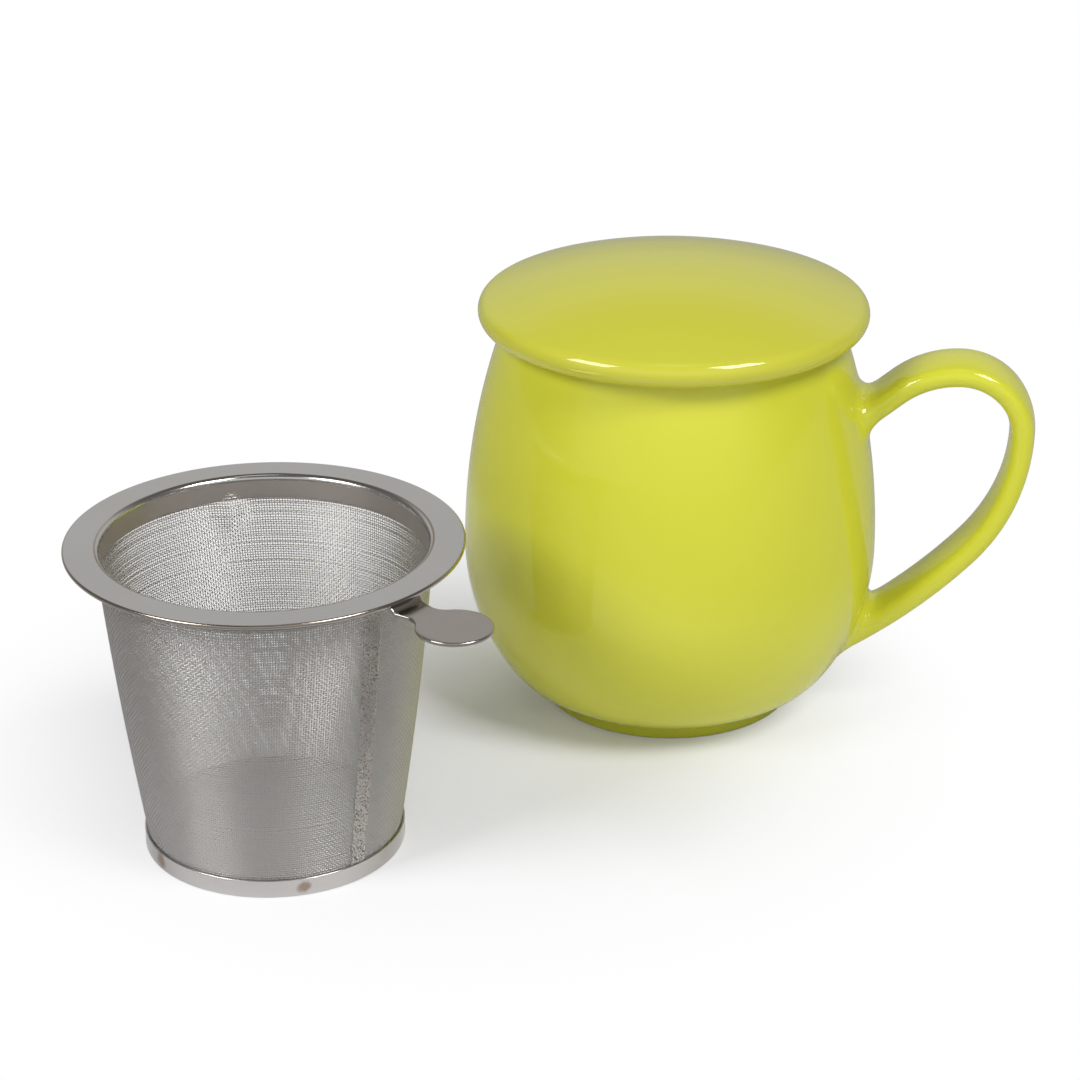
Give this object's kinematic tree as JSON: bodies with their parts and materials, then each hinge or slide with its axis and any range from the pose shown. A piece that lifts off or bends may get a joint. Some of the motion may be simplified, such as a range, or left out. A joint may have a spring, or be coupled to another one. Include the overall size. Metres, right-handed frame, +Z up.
{
  "type": "lidded tea mug with infuser",
  "caption": "Round-bellied glazed ceramic mug with a strap handle and a loose domed lid, with a lift-in basket infuser of steel mesh that has a flange and a thumb tab.",
  "frame": {"origin": "centre of the mug's foot ring, on the surface that the mug and the infuser stand on", "axes": "+Z up the mug's axis; +X towards the middle of the handle; -Z out of the foot's resting face"},
  "size_m": [0.2039, 0.1719, 0.1055],
  "materials": {
    "glaze": "gloss",
    "lid_glaze": "gloss",
    "pressed_steel": "satin",
    "bright_steel": "polished",
    "steel_mesh": "woven"
  },
  "bodies": {
    "mug": {"mug_body": "glaze", "mug_handle": "glaze"},
    "lid": {"lid": "lid_glaze"},
    "infuser": {"rim_ring": "pressed_steel", "mesh_wall": "steel_mesh", "mesh_seam": "steel_mesh", "mesh_floor": "steel_mesh", "bottom_band": "bright_steel", "thumb_tab": "pressed_steel"}
  },
  "joints": [
    {"name": "lid_lift", "type": "slide", "parent": "mug", "child": "lid", "axis": [0, 0, 1], "range_m": [0, 0.06]},
    {"name": "infuser_lift", "type": "slide", "parent": "mug", "child": "infuser", "axis": [0, 0, 1], "range_m": [0, 0.12]}
  ]
}
